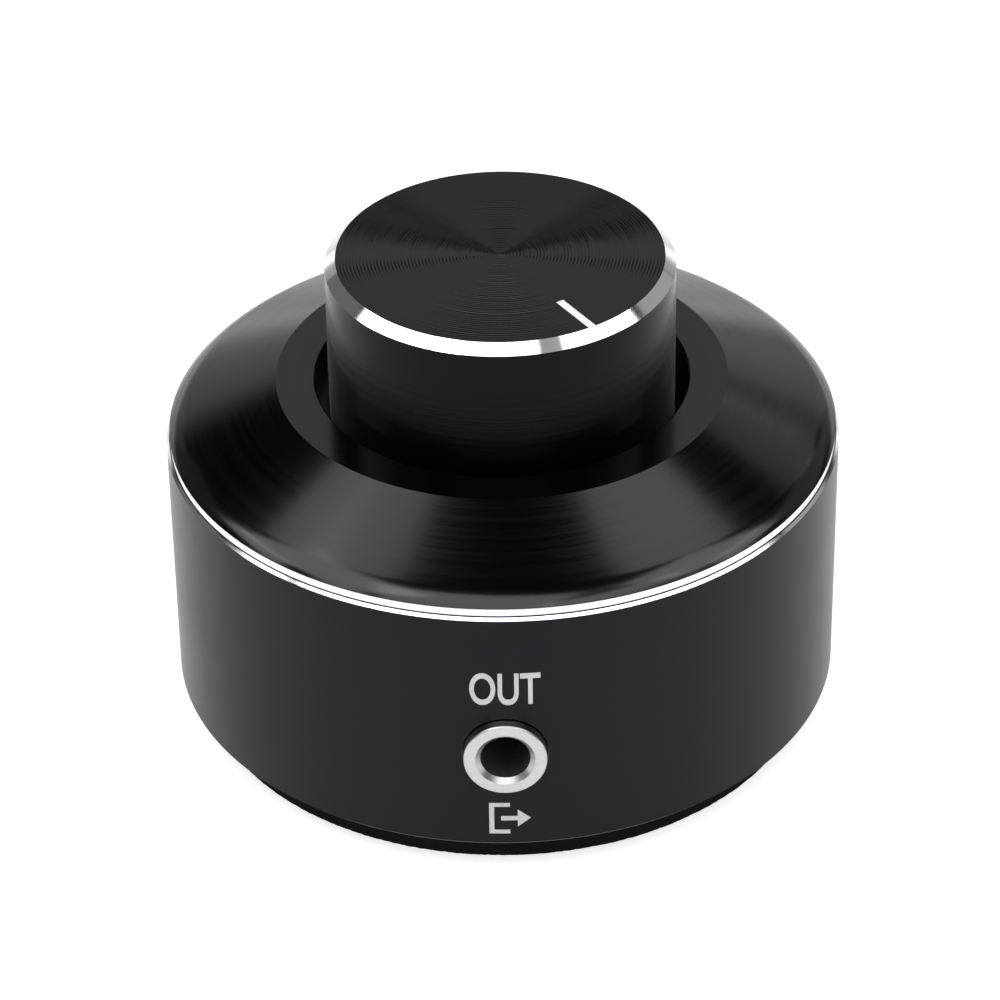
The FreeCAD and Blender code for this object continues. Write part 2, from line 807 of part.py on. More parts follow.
# Knob: bevelled top edge, recess over nut and clip, hub bore, index slot and grub screw hole
def makeKnob():
    body = newBody("knob")
    profile = sketchOn(body, "KnobProfile", "XZ_Plane")
    bore = s.shaftRadius + s.runningGap
    outline(profile, [
        (s.recessRadius, knobUnder),
        (s.knobRadius - s.knobFootChamfer, knobUnder),
        (s.knobRadius, knobUnder + s.knobFootChamfer),
        (s.knobRadius, knobTop - s.bevelDeep),
        (s.knobRadius - s.bevelWide, knobTop),
        (zero, knobTop),
        (zero, hubBoreTop),
        (bore, hubBoreTop),
        (bore, recessTop),
        (s.recessRadius, recessTop),
    ])
    turned(body, "KnobBlank", profile)

    slotSketch = sketchOn(body, "IndexOutline", "XY_Plane", knobTop)
    half = s.indexWide / 2
    rectangle(slotSketch, s.indexInner, s.knobRadius + spare, -half, half)
    pocket(body, "IndexSlot", slotSketch, s.indexDeep)

    grubSketch = sketchOn(body, "GrubHoleOutline", "YZ_Plane")
    circle(grubSketch, zero, grubHeight, s.grubRadius + s.holeGap)
    pocket(body, "GrubHole", grubSketch, s.knobRadius + spare)
    turnBody(body, s.indexTurn)


# Grub screw against the shaft's flat
def makeGrubScrew():
    body = newBody("grub_screw")
    sketch = sketchOn(body, "GrubOutline", "YZ_Plane", -s.shaftFlat)
    circle(sketch, zero, grubHeight, s.grubRadius)
    pad(body, "Grub", sketch, s.grubLength, backwards=True)
    turnBody(body, s.indexTurn)


makeFootPad()
makeCup()
makeTopCover()
makeCoverScrews()
makeCircuitBoard()
for jack, halfTurn in (("out_jack", 0), ("in_jack", 180)):
    makeJackNose(f"{jack}_nose", halfTurn)
    makeJackHousing(f"{jack}_housing", halfTurn)
    makeJackContacts(f"{jack}_contacts", halfTurn)
makePotPlate()
makePotWasher()
makePotNut()
makeGangCase("pot_case_front", frontWaferTop)
makeGangCase("pot_case_rear", rearWaferTop)
makeWafer("pot_wafer_front", frontWaferUnder, frontEarReach)
makeWafer("pot_wafer_rear", rearWaferUnder, rearEarReach)
makePotTerminals()
makeRearCover()
makeShaft()
makeShaftClip()
makeRotor("front_rotor", frontWaferTop)
makeRotor("rear_rotor", rearWaferTop)
makeWipers()
makeKnob()
makeGrubScrew()
doc.recompute()

# Every object must be sound before anything is written
for item in doc.Objects:
    if "Invalid" in item.State or "Error" in item.State:
        raise RuntimeError(f"{item.Label} failed")
bodies = [item for item in doc.Objects if item.isDerivedFrom("PartDesign::Body")]
for body in bodies:
    if body.Shape.isNull() or not body.Shape.isValid():
        raise RuntimeError(f"{body.Label} has no sound shape")

os.makedirs("parts", exist_ok=True)
for body in bodies:
    body.Shape.exportStep(f"parts/{body.Label}.step")
    box = body.Shape.BoundBox
    print(body.Label, len(body.Shape.Solids), "solids", round(body.Shape.Volume, 2), "mm3",
          "z", round(box.ZMin, 2), "to", round(box.ZMax, 2))
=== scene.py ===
import bmesh
import bpy
import json
import math
from mathutils import Matrix, Vector


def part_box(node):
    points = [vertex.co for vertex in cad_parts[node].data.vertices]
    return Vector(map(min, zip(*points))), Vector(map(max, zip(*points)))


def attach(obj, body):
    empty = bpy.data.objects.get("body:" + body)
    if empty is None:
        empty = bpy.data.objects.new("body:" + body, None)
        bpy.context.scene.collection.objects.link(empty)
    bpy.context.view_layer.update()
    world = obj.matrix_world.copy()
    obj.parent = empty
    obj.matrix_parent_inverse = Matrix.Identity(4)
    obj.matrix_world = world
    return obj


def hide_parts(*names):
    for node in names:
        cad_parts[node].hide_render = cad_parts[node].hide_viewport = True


# Round desktop volume controller on its foam pad. Sizes in the dictionaries are millimetres
# and degrees; the frame and the finished meshes are in metres, with the user's side at -Y.

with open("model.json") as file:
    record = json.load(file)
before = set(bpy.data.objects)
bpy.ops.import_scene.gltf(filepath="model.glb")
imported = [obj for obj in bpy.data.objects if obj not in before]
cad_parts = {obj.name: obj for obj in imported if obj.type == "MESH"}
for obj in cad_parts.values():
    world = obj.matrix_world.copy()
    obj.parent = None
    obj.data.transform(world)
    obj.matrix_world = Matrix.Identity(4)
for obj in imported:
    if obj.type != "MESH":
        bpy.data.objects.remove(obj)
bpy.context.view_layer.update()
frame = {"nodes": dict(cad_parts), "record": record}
mm = 0.001
# Points closer than this are merged
weld = 0.0005 * mm
# A face's middle this near to a surface belongs to it
skin = 0.1
print("frame loaded:", len(frame["nodes"]), "nodes")


# Node helpers

def addNode(tree, kind, inputs=None, **settings):
    node = tree.nodes.new(kind)
    for name, value in settings.items():
        setattr(node, name, value)
    for key, value in (inputs or {}).items():
        if isinstance(value, bpy.types.NodeSocket):
            tree.links.new(value, node.inputs[key])
        else:
            node.inputs[key].default_value = value
    return node


def calc(tree, operation, first, second=0.0):
    return addNode(tree, "ShaderNodeMath", {0: first, 1: second}, operation=operation).outputs[0]


# Geometry tree that turns a profile: the object's own points, in their order, are swept round
# the upright axis

def makeTurningTree():
    tree = bpy.data.node_groups.new("turning", "GeometryNodeTree")
    for name, kind in (("Profile", "Geometry"), ("Columns", "Int"), ("Start Angle", "Float"),
                       ("Finish", "Material")):
        tree.interface.new_socket(name, in_out="INPUT", socket_type=f"NodeSocket{kind}")
    tree.interface.new_socket("Piece", in_out="OUTPUT", socket_type="NodeSocketGeometry")
    given = addNode(tree, "NodeGroupInput").outputs
    rings = addNode(tree, "GeometryNodeAttributeDomainSize", {"Geometry": given["Profile"]})
    across = calc(tree, "ADD", given["Columns"], 1)
    grid = addNode(tree, "GeometryNodeMeshGrid", {
        "Vertices X": across, "Vertices Y": rings.outputs["Point Count"]})
    index = addNode(tree, "GeometryNodeInputIndex").outputs[0]
    ring = calc(tree, "MODULO", index, rings.outputs["Point Count"])
    column = calc(tree, "FLOOR", calc(tree, "DIVIDE", calc(tree, "ADD", index, 0.5),
                                      rings.outputs["Point Count"]))
    place = addNode(tree, "GeometryNodeInputPosition").outputs[0]
    point = addNode(tree, "GeometryNodeSampleIndex", {
        "Geometry": given["Profile"], "Value": place, "Index": ring}, data_type="FLOAT_VECTOR")
    axes = addNode(tree, "ShaderNodeSeparateXYZ", {0: point.outputs[0]}).outputs
    step = calc(tree, "DIVIDE", math.tau, given["Columns"])
    angle = calc(tree, "ADD", calc(tree, "MULTIPLY", column, step), given["Start Angle"])
    turned = addNode(tree, "ShaderNodeCombineXYZ", {
        "X": calc(tree, "MULTIPLY", axes["X"], calc(tree, "COSINE", angle)),
        "Y": calc(tree, "MULTIPLY", axes["X"], calc(tree, "SINE", angle)),
        "Z": axes["Z"]})
    moved = addNode(tree, "GeometryNodeSetPosition", {
        "Geometry": grid.outputs["Mesh"], "Position": turned.outputs[0]})
    merged = addNode(tree, "GeometryNodeMergeByDistance", {
        "Geometry": moved.outputs[0], "Distance": weld})
    real = addNode(tree, "GeometryNodeRealizeInstances", {"Geometry": merged.outputs[0]})
    finished = addNode(tree, "GeometryNodeSetMaterial", {
        "Geometry": real.outputs[0], "Material": given["Finish"]})
    addNode(tree, "NodeGroupOutput", {"Piece": finished.outputs[0]})
    return tree


# Geometry tree for the foam's skin: cells of two sizes pressed into the side

def makeFoamTree():
    tree = bpy.data.node_groups.new("foam skin", "GeometryNodeTree")
    for name, kind in (("Piece", "Geometry"), ("Cell Size", "Float"), ("Cell Depth", "Float"),
                       ("Cell Share", "Float"), ("Seed", "Float"), ("Finish", "Material")):
        tree.interface.new_socket(name, in_out="INPUT", socket_type=f"NodeSocket{kind}")
    tree.interface.new_socket("Piece", in_out="OUTPUT", socket_type="NodeSocketGeometry")
    given = addNode(tree, "NodeGroupInput").outputs
    place = addNode(tree, "GeometryNodeInputPosition").outputs[0]
    normal = addNode(tree, "GeometryNodeInputNormal").outputs[0]
    cells = addNode(tree, "ShaderNodeTexNoise", {
        "Vector": place, "W": given["Seed"], "Scale": calc(tree, "DIVIDE", 1, given["Cell Size"]),
        "Detail": 3.0, "Roughness": 0.7}, noise_dimensions="4D").outputs[0]
    depth = calc(tree, "MULTIPLY", calc(tree, "SUBTRACT", cells, given["Cell Share"]),
                 given["Cell Depth"])
    pressed = calc(tree, "MINIMUM", depth, 0)
    shift = addNode(tree, "ShaderNodeVectorMath", {0: normal, "Scale": pressed}, operation="SCALE")
    moved = addNode(tree, "GeometryNodeSetPosition", {
        "Geometry": given["Piece"], "Offset": shift.outputs[0]})
    real = addNode(tree, "GeometryNodeRealizeInstances", {"Geometry": moved.outputs[0]})
    finished = addNode(tree, "GeometryNodeSetMaterial", {
        "Geometry": real.outputs[0], "Material": given["Finish"]})
    addNode(tree, "NodeGroupOutput", {"Piece": finished.outputs[0]})
    return tree


# Run a geometry tree on a mesh and return the result as a plain mesh

def runTree(tree, mesh, values):
    carrier = bpy.data.objects.new("carrier", mesh)
    bpy.context.collection.objects.link(carrier)
    modifier = carrier.modifiers.new("tree", "NODES")
    modifier.node_group = tree
    sockets = {item.name: item.identifier for item in tree.interface.items_tree
               if item.in_out == "INPUT"}
    for name, value in values.items():
        modifier[sockets[name]] = value
    evaluated = carrier.evaluated_get(bpy.context.evaluated_depsgraph_get())
    made = bpy.data.meshes.new_from_object(evaluated)
    carrier.modifiers.clear()
    bpy.data.objects.remove(carrier)
    return made


# Shader groups

def makeGroup(name, inputs, outputs):
    tree = bpy.data.node_groups.new(name, "ShaderNodeTree")
    for label, value in inputs.items():
        socket = tree.interface.new_socket(label, in_out="INPUT", socket_type="NodeSocketFloat")
        socket.default_value = value
    for label in outputs:
        tree.interface.new_socket(label, in_out="OUTPUT", socket_type="NodeSocketFloat")
    return tree, addNode(tree, "NodeGroupInput").outputs


# Values that a noise texture mostly stays between
noiseLow, noiseHigh = 0.3, 0.7
# How far the rings' pattern shifts on its way round the axis, and how dense the smudges are
ringShift = 0.8
smudgeScale = 90.0


# Fine rings left by the turning tool, close together round the axis and slow along it
def makeTurnedGrain():
    tree, given = makeGroup("turned grain", {"Pitch": 0.2, "Rough Low": 0.2, "Rough High": 0.3},
                            ("Roughness", "Height"))
    axes = addNode(tree, "ShaderNodeSeparateXYZ", {
        0: addNode(tree, "ShaderNodeTexCoord").outputs["Object"]}).outputs
    radius = calc(tree, "SQRT", calc(tree, "ADD", calc(tree, "POWER", axes["X"], 2),
                                     calc(tree, "POWER", axes["Y"], 2)))
    perPitch = calc(tree, "DIVIDE", 1 / mm, given["Pitch"])
    turn = calc(tree, "ARCTAN2", axes["Y"], axes["X"])
    rings = addNode(tree, "ShaderNodeCombineXYZ", {
        "X": calc(tree, "MULTIPLY", radius, perPitch),
        "Y": calc(tree, "MULTIPLY", axes["Z"], perPitch),
        "Z": calc(tree, "MULTIPLY", calc(tree, "SINE", turn), ringShift)})
    grain = addNode(tree, "ShaderNodeTexNoise", {
        "Vector": rings.outputs[0], "Scale": 1.0, "Detail": 2.0, "Roughness": 0.6}).outputs[0]
    rough = addNode(tree, "ShaderNodeMapRange", {
        "Value": grain, "From Min": noiseLow, "From Max": noiseHigh, "To Min": given["Rough Low"],
        "To Max": given["Rough High"]}).outputs[0]
    addNode(tree, "NodeGroupOutput", {"Roughness": rough, "Height": grain})
    return tree


# Even grain of a blasted, moulded or foamed surface, with slow smudges on top
def makeEvenGrain():
    tree, given = makeGroup("even grain", {
        "Grain Size": 0.1, "Rough Low": 0.4, "Rough High": 0.5, "Shade Spread": 0.1},
        ("Roughness", "Height", "Shade"))
    place = addNode(tree, "ShaderNodeTexCoord").outputs["Object"]
    fine = addNode(tree, "ShaderNodeTexNoise", {
        "Vector": place, "Scale": calc(tree, "DIVIDE", 1 / mm, given["Grain Size"]),
        "Detail": 2.0}).outputs[0]
    slow = addNode(tree, "ShaderNodeTexNoise", {
        "Vector": place, "Scale": smudgeScale, "Detail": 3.0}).outputs[0]
    rough = addNode(tree, "ShaderNodeMapRange", {
        "Value": slow, "From Min": noiseLow, "From Max": noiseHigh, "To Min": given["Rough Low"],
        "To Max": given["Rough High"]}).outputs[0]
    spread = calc(tree, "MULTIPLY", calc(tree, "SUBTRACT", fine, 0.5), given["Shade Spread"])
    addNode(tree, "NodeGroupOutput", {
        "Roughness": rough, "Height": fine, "Shade": calc(tree, "ADD", spread, 1.0)})
    return tree


turnedGrain = makeTurnedGrain()
evenGrain = makeEvenGrain()


# A material with a grain group that drives its roughness, bump and shade
def makeFinish(name, group, colour, grain, bump, turned=False, **shader):
    material = bpy.data.materials.new(name)
    material.use_nodes = True
    tree = material.node_tree
    surface = tree.nodes["Principled BSDF"]
    for label, value in shader.items():
        surface.inputs[label].default_value = value
    if turned:
        around = addNode(tree, "ShaderNodeTangent", direction_type="RADIAL", axis="Z")
        tree.links.new(around.outputs[0], surface.inputs["Tangent"])
        surface.inputs["Anisotropic Rotation"].default_value = 0.25
    marks = addNode(tree, "ShaderNodeGroup", node_tree=group)
    for label, value in grain.items():
        marks.inputs[label].default_value = value
    tree.links.new(marks.outputs["Roughness"], surface.inputs["Roughness"])
    relief = addNode(tree, "ShaderNodeBump", {
        "Height": marks.outputs["Height"], "Strength": 1.0, "Distance": bump * mm})
    tree.links.new(relief.outputs[0], surface.inputs["Normal"])
    if group is evenGrain:
        tint = addNode(tree, "ShaderNodeVectorMath", {
            0: colour[:3], "Scale": marks.outputs["Shade"]}, operation="SCALE")
        tree.links.new(tint.outputs[0], surface.inputs["Base Color"])
    else:
        surface.inputs["Base Color"].default_value = colour
    return material


finishes = {
    "blasted_black": makeFinish("blasted black", evenGrain, (0.004, 0.004, 0.006, 1), {
        "Grain Size": 0.12, "Rough Low": 0.33, "Rough High": 0.39, "Shade Spread": 0.5}, 0.003,
        **{"Specular IOR Level": 0.19, "Specular Tint": (0.94, 0.92, 1, 1), "Sheen Weight": 0.42,
           "Sheen Roughness": 0.27}),
    "satin_black": makeFinish("satin black", turnedGrain, (0.0006, 0.0006, 0.0008, 1), {
        "Pitch": 0.25, "Rough Low": 0.14, "Rough High": 0.20}, 0.002, turned=True, Anisotropic=0.2),
    "turned_black": makeFinish("turned black", turnedGrain, (0.001, 0.001, 0.001, 1), {
        "Pitch": 0.18, "Rough Low": 0.09, "Rough High": 0.14}, 0.006, turned=True, Anisotropic=0.1,
        **{"Specular IOR Level": 0.4}),
    "ribbed_black": makeFinish("ribbed black", turnedGrain, (0.001, 0.001, 0.001, 1), {
        "Pitch": 0.3, "Rough Low": 0.16, "Rough High": 0.22}, 0.012, turned=True, Anisotropic=0.2,
        **{"Specular IOR Level": 0.13, "Sheen Weight": 0.15, "Sheen Roughness": 0.3}),
    "bright_cut": makeFinish("bright cut", turnedGrain, (0.93, 0.93, 0.94, 1), {
        "Pitch": 0.05, "Rough Low": 0.08, "Rough High": 0.14}, 0.0005, turned=True, Metallic=1.0,
        Anisotropic=0.8),
    "nickel": makeFinish("nickel", evenGrain, (0.62, 0.61, 0.60, 1), {
        "Grain Size": 0.3, "Rough Low": 0.26, "Rough High": 0.38, "Shade Spread": 0.25}, 0.002,
        Metallic=1.0),
    "foam": makeFinish("foam", evenGrain, (0.006, 0.006, 0.0065, 1), {
        "Grain Size": 0.25, "Rough Low": 0.85, "Rough High": 0.95, "Shade Spread": 1.4}, 0.05,
        **{"Specular IOR Level": 0.15}),
    "print": makeFinish("light print", evenGrain, (0.64, 0.64, 0.65, 1), {
        "Grain Size": 0.12, "Rough Low": 0.5, "Rough High": 0.6, "Shade Spread": 0.4}, 0.002),
    "mark": makeFinish("index mark", evenGrain, (0.96, 0.96, 0.96, 1), {
        "Grain Size": 0.1, "Rough Low": 0.4, "Rough High": 0.5, "Shade Spread": 0.08}, 0.002),
    "black_steel": makeFinish("black steel", evenGrain, (0.02, 0.02, 0.022, 1), {
        "Grain Size": 0.1, "Rough Low": 0.3, "Rough High": 0.4, "Shade Spread": 0.2}, 0.002,
        Metallic=1.0),
    "plain_steel": makeFinish("plain steel", evenGrain, (0.55, 0.55, 0.56, 1), {
        "Grain Size": 0.1, "Rough Low": 0.28, "Rough High": 0.36, "Shade Spread": 0.1}, 0.002,
        Metallic=1.0),
    "board": makeFinish("board", evenGrain, (0.008, 0.07, 0.025, 1), {
        "Grain Size": 0.3, "Rough Low": 0.25, "Rough High": 0.35, "Shade Spread": 0.3}, 0.004),
    "black_plastic": makeFinish("black plastic", evenGrain, (0.012, 0.012, 0.013, 1), {
        "Grain Size": 0.15, "Rough Low": 0.45, "Rough High": 0.55, "Shade Spread": 0.2}, 0.004),
    "spring_bronze": makeFinish("spring bronze", evenGrain, (0.66, 0.60, 0.44, 1), {
        "Grain Size": 0.1, "Rough Low": 0.2, "Rough High": 0.3, "Shade Spread": 0.1}, 0.001,
        Metallic=1.0),
    "phenolic": makeFinish("phenolic", evenGrain, (0.22, 0.10, 0.04, 1), {
        "Grain Size": 0.2, "Rough Low": 0.5, "Rough High": 0.6, "Shade Spread": 0.3}, 0.004),
    "white_plastic": makeFinish("white plastic", evenGrain, (0.70, 0.69, 0.64, 1), {
        "Grain Size": 0.2, "Rough Low": 0.4, "Rough High": 0.5, "Shade Spread": 0.05}, 0.002),
}
print("finishes made:", len(finishes))


# Piece helpers

def profileMesh(points):
    mesh = bpy.data.meshes.new("profile")
    mesh.from_pydata([(x * mm, 0, z * mm) for x, z in points], [], [])
    return mesh


def turnedMesh(points, finish, columns, start=0.0):
    return runTree(turningTree, profileMesh(points), {
        "Columns": columns, "Start Angle": math.radians(start), "Finish": finishes[finish]})


def arcPoints(middle, radius, first, last, steps):
    points = []
    for step in range(steps + 1):
        angle = math.radians(first + (last - first) * step / steps)
        points.append((middle[0] + radius * math.cos(angle), middle[1] + radius * math.sin(angle)))
    return points


# Tool grooves along a straight run: at each pitch a long fall by the depth and a short rise
def groovedRun(start, end, pitch, depth, fall):
    along = Vector(end) - Vector(start)
    count = round(along.length / pitch)
    inward = Vector((along.y, -along.x)).normalized() * depth
    points = []
    for number in range(count):
        points.append(Vector(start) + along * number / count)
        points.append(Vector(start) + along * (number + fall) / count + inward)
    points.append(Vector(end))
    return [tuple(point) for point in points]


def makePiece(name, mesh, slot, body, *nodes, sharp=12):
    mesh.name = name
    shape = bmesh.new()
    shape.from_mesh(mesh)
    bmesh.ops.remove_doubles(shape, verts=shape.verts, dist=weld)
    bmesh.ops.dissolve_degenerate(shape, dist=weld, edges=shape.edges)
    bmesh.ops.recalc_face_normals(shape, faces=shape.faces)
    shape.to_mesh(mesh)
    shape.free()
    mesh.shade_smooth()
    mesh.set_sharp_from_angle(angle=math.radians(sharp))
    piece = bpy.data.objects.new(name, mesh)
    bpy.context.collection.objects.link(piece)
    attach(piece, body)
    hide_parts(*nodes)
    print("piece:", name, len(mesh.polygons), "faces")
    return piece


# Give another finish to the faces whose middle (radius, height) passes the test
def repaint(mesh, finish, test):
    mesh.materials.append(finishes[finish])
    number = len(mesh.materials) - 1
    for face in mesh.polygons:
        middle = face.center / mm
        if test(math.hypot(middle.x, middle.y), middle.z):
            face.material_index = number


def cutWith(mesh, cutter):
    body = bpy.data.objects.new("body", mesh)
    tool = bpy.data.objects.new("tool", cutter)
    for item in (body, tool):
        bpy.context.collection.objects.link(item)
    cut = body.modifiers.new("cut", "BOOLEAN")
    cut.object = tool
    cut.operation = "DIFFERENCE"
    cut.solver = "EXACT"
    evaluated = body.evaluated_get(bpy.context.evaluated_depsgraph_get())
    made = bpy.data.meshes.new_from_object(evaluated)
    bpy.data.objects.remove(body)
    bpy.data.objects.remove(tool)
    return made


# Rod of this radius between two points, as a cutter
def rodMesh(radius, start, end, finish, columns=64):
    start, end = Vector(start) * mm, Vector(end) * mm
    shape = bmesh.new()
    bmesh.ops.create_cone(shape, cap_ends=True, segments=columns, radius1=radius * mm,
                          radius2=radius * mm, depth=(end - start).length)
    turn = (end - start).to_track_quat("Z", "Y").to_matrix().to_4x4()
    bmesh.ops.transform(shape, matrix=Matrix.Translation((start + end) / 2) @ turn, verts=shape.verts)
    mesh = bpy.data.meshes.new("rod")
    shape.to_mesh(mesh)
    shape.free()
    mesh.materials.append(finishes[finish])
    return mesh


turningTree = makeTurningTree()
foamTree = makeFoamTree()


# Heights and radii that the pieces share, read from the frame
def low(node):
    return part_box(node)[0] / mm


def high(node):
    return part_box(node)[1] / mm


padTop = high("foot_pad").z
cupRadius = high("cup").x
seam = high("cup").z
coverRadius = high("top_cover").x
landTop = high("top_cover").z
knobRadius = high("knob").x
knobUnder, knobTop = low("knob").z, high("knob").z
noseFace = low("out_jack_nose").y
noseRadius = high("out_jack_nose").x
jackAxis = (low("out_jack_nose").z + high("out_jack_nose").z) / 2


# Cup: blasted wall, bright rim, floor and the two jack holes. The wall's rows run from the
# first height to the last
cup = {
    "columns": 256, "wall": 2.0, "floor": 2.2, "rimChamfer": 0.2, "footChamfer": 0.2,
    "rowFirst": 4, "rowLast": 20, "rowStep": 2, "holeGap": 0.1, "holeReach": 30,
}


def makeCup():
    inside = cupRadius - cup["wall"]
    floorTop = padTop + cup["floor"]
    heights = range(cup["rowFirst"], cup["rowLast"] + 1, cup["rowStep"])
    wallRows = [(cupRadius, z) for z in heights]
    mesh = turnedMesh([
        (0, padTop), (cupRadius / 2, padTop), (cupRadius - cup["footChamfer"], padTop),
        (cupRadius, padTop + cup["footChamfer"]), *wallRows,
        (cupRadius, seam - cup["rimChamfer"]), (cupRadius - cup["rimChamfer"], seam),
        (inside, seam), (inside, floorTop), (0, floorTop)], "blasted_black", columns=cup["columns"])
    hole = noseRadius + cup["holeGap"]
    reach = cup["holeReach"]
    mesh = cutWith(mesh, rodMesh(hole, (0, -reach, jackAxis), (0, reach, jackAxis), "blasted_black"))
    rimFoot = seam - cup["rimChamfer"]
    repaint(mesh, "bright_cut", lambda radius, z: rimFoot < z < seam and radius > coverRadius)
    return makePiece("cup_shell", mesh, "blasted_black", "housing", "cup")


# Cover: bright band, rounded shoulder, cone, land and the well round the knob
cover = {
    "columns": 256, "bandHeight": 0.65, "shoulderRadius": 3.6, "shoulderFoot": 40,
    "shoulderHead": 67.3, "shoulderSteps": 8, "coneSteps": 6, "seamChamfer": 0.1,
    "landRadius": 16.7, "wellRadius": 13.8, "wellDepth": 4.45, "spigotDepth": 2.0,
    "spigotRadius": 22.9, "boreRadius": 3.6, "landEdge": 0.12,
}


def makeCover():
    bandTop = seam + cover["bandHeight"]
    foot = math.radians(cover["shoulderFoot"])
    middle = (coverRadius - cover["shoulderRadius"] * math.cos(foot),
              bandTop - cover["shoulderRadius"] * math.sin(foot))
    shoulder = arcPoints(middle, cover["shoulderRadius"], cover["shoulderFoot"],
                         cover["shoulderHead"], cover["shoulderSteps"])
    wellFloor = landTop - cover["wellDepth"]
    under = seam - cover["spigotDepth"]
    head = shoulder[-1]
    coneRows = []
    for step in range(1, cover["coneSteps"]):
        share = step / cover["coneSteps"]
        coneRows.append((head[0] + (cover["landRadius"] - head[0]) * share,
                         head[1] + (landTop - head[1]) * share))
    edge = cover["landEdge"]
    points = [
        (cover["boreRadius"], under), (cover["spigotRadius"], under), (cover["spigotRadius"], seam),
        (coverRadius - cover["seamChamfer"], seam), (coverRadius, seam + cover["seamChamfer"]),
        *shoulder, *coneRows, (cover["landRadius"], landTop),
        (cover["wellRadius"] + edge, landTop), (cover["wellRadius"], landTop - edge),
        (cover["wellRadius"], wellFloor), (cover["boreRadius"], wellFloor),
        (cover["boreRadius"], under)]
    mesh = turnedMesh(points, "satin_black", columns=cover["columns"])
    bandFoot = seam + cover["seamChamfer"]
    repaint(mesh, "bright_cut",
            lambda radius, z: bandFoot < z < bandTop and radius > coverRadius - skin)
    return makePiece("cover_shell", mesh, "satin_black", "housing", "top_cover")


# Knob: grooved top and side, mirror bevel, index slot, recess below and grub screw hole
knob = {
    "columns": 128, "topPitch": 0.25, "topDepth": 0.018, "sidePitch": 0.25, "sideDepth": 0.006,
    "grooveFall": 0.68,
    "bevelWide": 0.8, "bevelDeep": 0.68, "footChamfer": 0.3, "recessRadius": 7.0,
    "recessDepth": 4.4, "boreRadius": 3.05, "boreDepth": 6.0, "indexTurn": -57.1,
    "indexInner": 7.8, "indexWide": 0.6, "indexDeep": 0.3, "indexPast": 1.0, "grubRadius": 1.6,
    "grubRise": 7.4, "grubStart": 1.5, "grubEnd": 14, "grubColumns": 48, "sharp": 8,
}


def makeKnob():
    bevelFoot = knobTop - knob["bevelDeep"]
    bevelInner = knobRadius - knob["bevelWide"]
    exitDepth = knob["indexDeep"]
    exitRadius = bevelInner + knob["bevelWide"] * exitDepth / knob["bevelDeep"]
    recessTop = knobUnder + knob["recessDepth"]
    boreTop = recessTop + knob["boreDepth"]
    topRun = groovedRun((0, knobTop), (bevelInner, knobTop), knob["topPitch"], knob["topDepth"],
                        knob["grooveFall"])
    sideFoot = knobUnder + knob["footChamfer"]
    sideRun = groovedRun((knobRadius, bevelFoot), (knobRadius, sideFoot), knob["sidePitch"],
                         knob["sideDepth"], knob["grooveFall"])
    points = [*topRun, (exitRadius, knobTop - exitDepth), *sideRun,
              (knobRadius - knob["footChamfer"], knobUnder), (knob["recessRadius"], knobUnder),
              (knob["recessRadius"], recessTop), (knob["boreRadius"], recessTop),
              (knob["boreRadius"], boreTop), (0, boreTop)]
    halfStep = 180 / knob["columns"]
    mesh = turnedMesh(points, "turned_black", columns=knob["columns"], start=halfStep)
    grooveLow = knobTop - knob["topDepth"]
    repaint(mesh, "bright_cut",
            lambda radius, z: bevelFoot < z < grooveLow and radius > bevelInner)
    repaint(mesh, "ribbed_black",
            lambda radius, z: knobUnder < z < bevelFoot and radius > bevelInner)
    mesh.materials.append(finishes["mark"])
    mesh = cutWith(mesh, slotMesh())
    mesh.transform(Matrix.Rotation(math.radians(knob["indexTurn"]), 4, "Z"))
    back = math.radians(knob["indexTurn"] + 180)
    grubHeight = knobUnder + knob["grubRise"]
    reach = Vector((math.cos(back), math.sin(back), 0))
    height = Vector((0, 0, grubHeight))
    mesh = cutWith(mesh, rodMesh(
        knob["grubRadius"], reach * knob["grubStart"] + height, reach * knob["grubEnd"] + height,
        "turned_black", columns=knob["grubColumns"]))
    return makePiece("knob_shell", mesh, "turned_black", "dial", "knob", sharp=knob["sharp"])


# Cutter for the slot, which runs along +X and out through the bevel. Its finishes are in the
# knob's order, and its faces take the last one
def slotMesh():
    depth = knob["indexDeep"]
    length = knobRadius + knob["indexPast"] - knob["indexInner"]
    place = Vector((knob["indexInner"] + length / 2, 0, knobTop)) * mm
    shape = bmesh.new()
    bmesh.ops.create_cube(shape, size=1)
    for vert in shape.verts:
        vert.co.x *= length * mm
        vert.co.y *= knob["indexWide"] * mm
        vert.co.z *= 2 * depth * mm
        vert.co += place
    mesh = bpy.data.meshes.new("slot")
    shape.to_mesh(mesh)
    shape.free()
    for finish in ("turned_black", "bright_cut", "ribbed_black", "mark"):
        mesh.materials.append(finishes[finish])
    for face in mesh.polygons:
        face.material_index = len(mesh.materials) - 1
    return mesh


# Foam pad with cells pressed into its side
pad = {"rows": 14, "columns": 720, "cellSize": 0.35, "cellDepth": 0.2,
       "cellShare": 0.6, "seed": 3.0, "edge": 0.06, "inner": 0.5, "outer": 0.9, "sharp": 50}


def makePad():
    radius = high("foot_pad").x
    edge = pad["edge"]
    side = [(radius, edge + (padTop - 2 * edge) * row / pad["rows"]) for row in range(pad["rows"] + 1)]
    mesh = turnedMesh([
        (0, 0), (radius * pad["inner"], 0), (radius * pad["outer"], 0), (radius - edge, 0), *side,
        (radius - edge, padTop), (radius * pad["inner"], padTop), (0, padTop)], "foam",
        columns=pad["columns"])
    mesh = runTree(foamTree, mesh, {
        "Cell Size": pad["cellSize"] * mm, "Cell Depth": pad["cellDepth"] * mm,
        "Cell Share": pad["cellShare"], "Seed": pad["seed"], "Finish": finishes["foam"]})
    return makePiece("foam_pad", mesh, "foam", "housing", "foot_pad", sharp=pad["sharp"])


